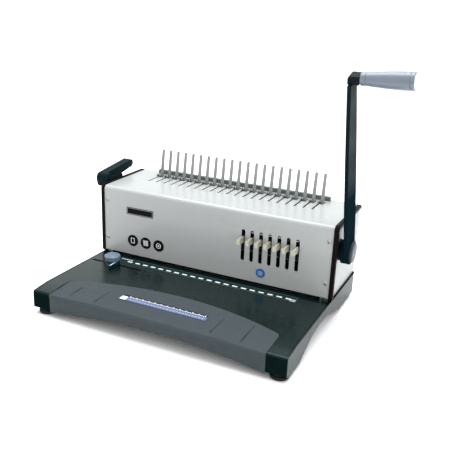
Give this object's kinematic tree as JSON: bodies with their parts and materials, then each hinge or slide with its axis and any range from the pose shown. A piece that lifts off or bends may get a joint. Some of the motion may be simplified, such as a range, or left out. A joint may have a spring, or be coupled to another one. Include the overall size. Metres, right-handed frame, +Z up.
{
  "type": "comb binding machine",
  "caption": "Manual desktop comb binder: a handle drives a row of paper punches under the cover, and a side lever moves hooks that open a plastic comb held on upright tines.",
  "frame": {"origin": "middle of the base's footprint, on the plane that the rubber feet stand on", "axes": "+X to the operator's right along the row of punches, +Y to the back of the machine, +Z up"},
  "size_m": [0.506, 0.3116, 0.3758],
  "materials": {
    "base_paint": "satin",
    "insert_plastic": "matte",
    "gauge_print": "gloss",
    "label_print": "gloss",
    "plate_steel": "brushed",
    "foot_rubber": "matte",
    "zinc_steel": "satin",
    "cover_paint": "satin",
    "trim_plastic": "gloss",
    "panel_paint": "satin",
    "bushing_bronze": "satin",
    "tool_steel": "ground",
    "bright_steel": "polished",
    "tab_steel": "satin",
    "dark_metal": "satin",
    "hub_plastic": "gloss",
    "elbow_plastic": "satin",
    "grip_plastic": "gloss",
    "cap_plastic": "gloss",
    "tine_steel": "satin",
    "rest_plastic": "matte",
    "guide_plastic": "gloss",
    "pointer_print": "gloss",
    "knob_plastic": "gloss",
    "drawer_plastic": "matte",
    "plate_print": "gloss"
  },
  "bodies": {
    "frame": {"base_shell": "base_paint", "front_insert": "insert_plastic", "gauge_strip": "gauge_print", "hole_label": "label_print", "bottom_plate": "plate_steel", "rubber_feet": "foot_rubber", "foot_screws": "zinc_steel", "top_cover": "cover_paint", "rear_cover": "cover_paint", "cover_screws": "zinc_steel", "trim_left": "trim_plastic", "trim_right": "trim_plastic", "side_panel_left": "panel_paint", "side_panel_right": "panel_paint", "frame_plate_left": "plate_steel", "frame_plate_right": "plate_steel", "shaft_bushings": "bushing_bronze", "lever_bushings": "bushing_bronze", "die_plate": "tool_steel", "guide_plate": "tool_steel", "throat_stop": "tool_steel", "die_screws": "dark_metal", "beam_posts": "bright_steel", "beam_springs": "zinc_steel", "pivot_boss": "elbow_plastic", "tine_bar": "dark_metal", "binding_tines": "tine_steel", "comb_rest": "rest_plastic", "slide_rails": "plate_steel", "nameplate": "plate_print", "badges": "plate_print"},
    "handle": {"drive_shaft": "bright_steel", "punch_cams": "tool_steel", "handle_arm": "dark_metal", "hub_cap": "hub_plastic", "arm_elbow": "elbow_plastic", "elbow_bolt": "dark_metal", "grip_spindle": "bright_steel"},
    "grip": {"grip_sleeve": "grip_plastic", "grip_end_cap": "cap_plastic"},
    "punch_unit": {"punch_beam": "dark_metal", "punches": "bright_steel"},
    "opener": {"lever_shaft": "bright_steel", "lever_pinions": "tool_steel", "comb_lever": "dark_metal"},
    "hooks": {"hook_carriage": "plate_steel", "comb_hooks": "tine_steel"},
    "guide": {"edge_guide": "guide_plastic", "guide_pointer": "pointer_print"},
    "knob": {"guide_knob": "knob_plastic"},
    "drawer": {"chip_drawer": "drawer_plastic", "drawer_front": "drawer_plastic"},
    "selector_1": {"selector_tab_1": "tab_steel"},
    "selector_2": {"selector_tab_2": "tab_steel"},
    "selector_3": {"selector_tab_3": "tab_steel"},
    "selector_4": {"selector_tab_4": "tab_steel"},
    "selector_5": {"selector_tab_5": "tab_steel"},
    "selector_6": {"selector_tab_6": "tab_steel"},
    "selector_7": {"selector_tab_7": "tab_steel"}
  },
  "joints": [
    {"name": "handle_pull", "type": "hinge", "parent": "frame", "child": "handle", "pos_m": [0, 0.0505, 0.1115], "axis": [1, 0, 0], "range_deg": [0, 76], "stiffness_Nm_per_rad": 1.3, "springref_deg": -40.11},
    {"name": "grip_spin", "type": "hinge", "parent": "handle", "child": "grip", "pos_m": [0.21, -0.02698, 0.36178], "axis": [0.9993, -0.0114, 0.0367], "continuous": true},
    {"name": "punch_travel", "type": "slide", "parent": "frame", "child": "punch_unit", "axis": [0, 0, -1], "range_m": [0, 0.01], "deforming": ["beam_springs"]},
    {"name": "selector_pull_1", "type": "slide", "parent": "punch_unit", "child": "selector_1", "axis": [0, -1, 0], "range_m": [0, 0.008]},
    {"name": "selector_pull_2", "type": "slide", "parent": "punch_unit", "child": "selector_2", "axis": [0, -1, 0], "range_m": [0, 0.008]},
    {"name": "selector_pull_3", "type": "slide", "parent": "punch_unit", "child": "selector_3", "axis": [0, -1, 0], "range_m": [0, 0.008]},
    {"name": "selector_pull_4", "type": "slide", "parent": "punch_unit", "child": "selector_4", "axis": [0, -1, 0], "range_m": [0, 0.008]},
    {"name": "selector_pull_5", "type": "slide", "parent": "punch_unit", "child": "selector_5", "axis": [0, -1, 0], "range_m": [0, 0.008]},
    {"name": "selector_pull_6", "type": "slide", "parent": "punch_unit", "child": "selector_6", "axis": [0, -1, 0], "range_m": [0, 0.008]},
    {"name": "selector_pull_7", "type": "slide", "parent": "punch_unit", "child": "selector_7", "axis": [0, -1, 0], "range_m": [0, 0.008]},
    {"name": "comb_lever_turn", "type": "hinge", "parent": "frame", "child": "opener", "pos_m": [0, 0.0695, 0.1345], "axis": [1, 0, 0], "range_deg": [0, 120]},
    {"name": "hook_travel", "type": "slide", "parent": "frame", "child": "hooks", "axis": [0, -1, 0], "range_m": [0, 0.0252]},
    {"name": "guide_travel", "type": "slide", "parent": "frame", "child": "guide", "axis": [1, 0, 0], "range_m": [-0.032, 0.046]},
    {"name": "knob_turn", "type": "hinge", "parent": "guide", "child": "knob", "pos_m": [-0.152, -0.015, 0], "axis": [0, 0, 1], "range_deg": [-90, 90]},
    {"name": "drawer_travel", "type": "slide", "parent": "frame", "child": "drawer", "axis": [0, 1, 0], "range_m": [0, 0.1]}
  ],
  "couplings": [
    {"joint": "punch_travel", "follows": "handle_pull", "m_per_rad": 0.0075388},
    {"joint": "hook_travel", "follows": "comb_lever_turn", "m_per_rad": 0.012}
  ]
}
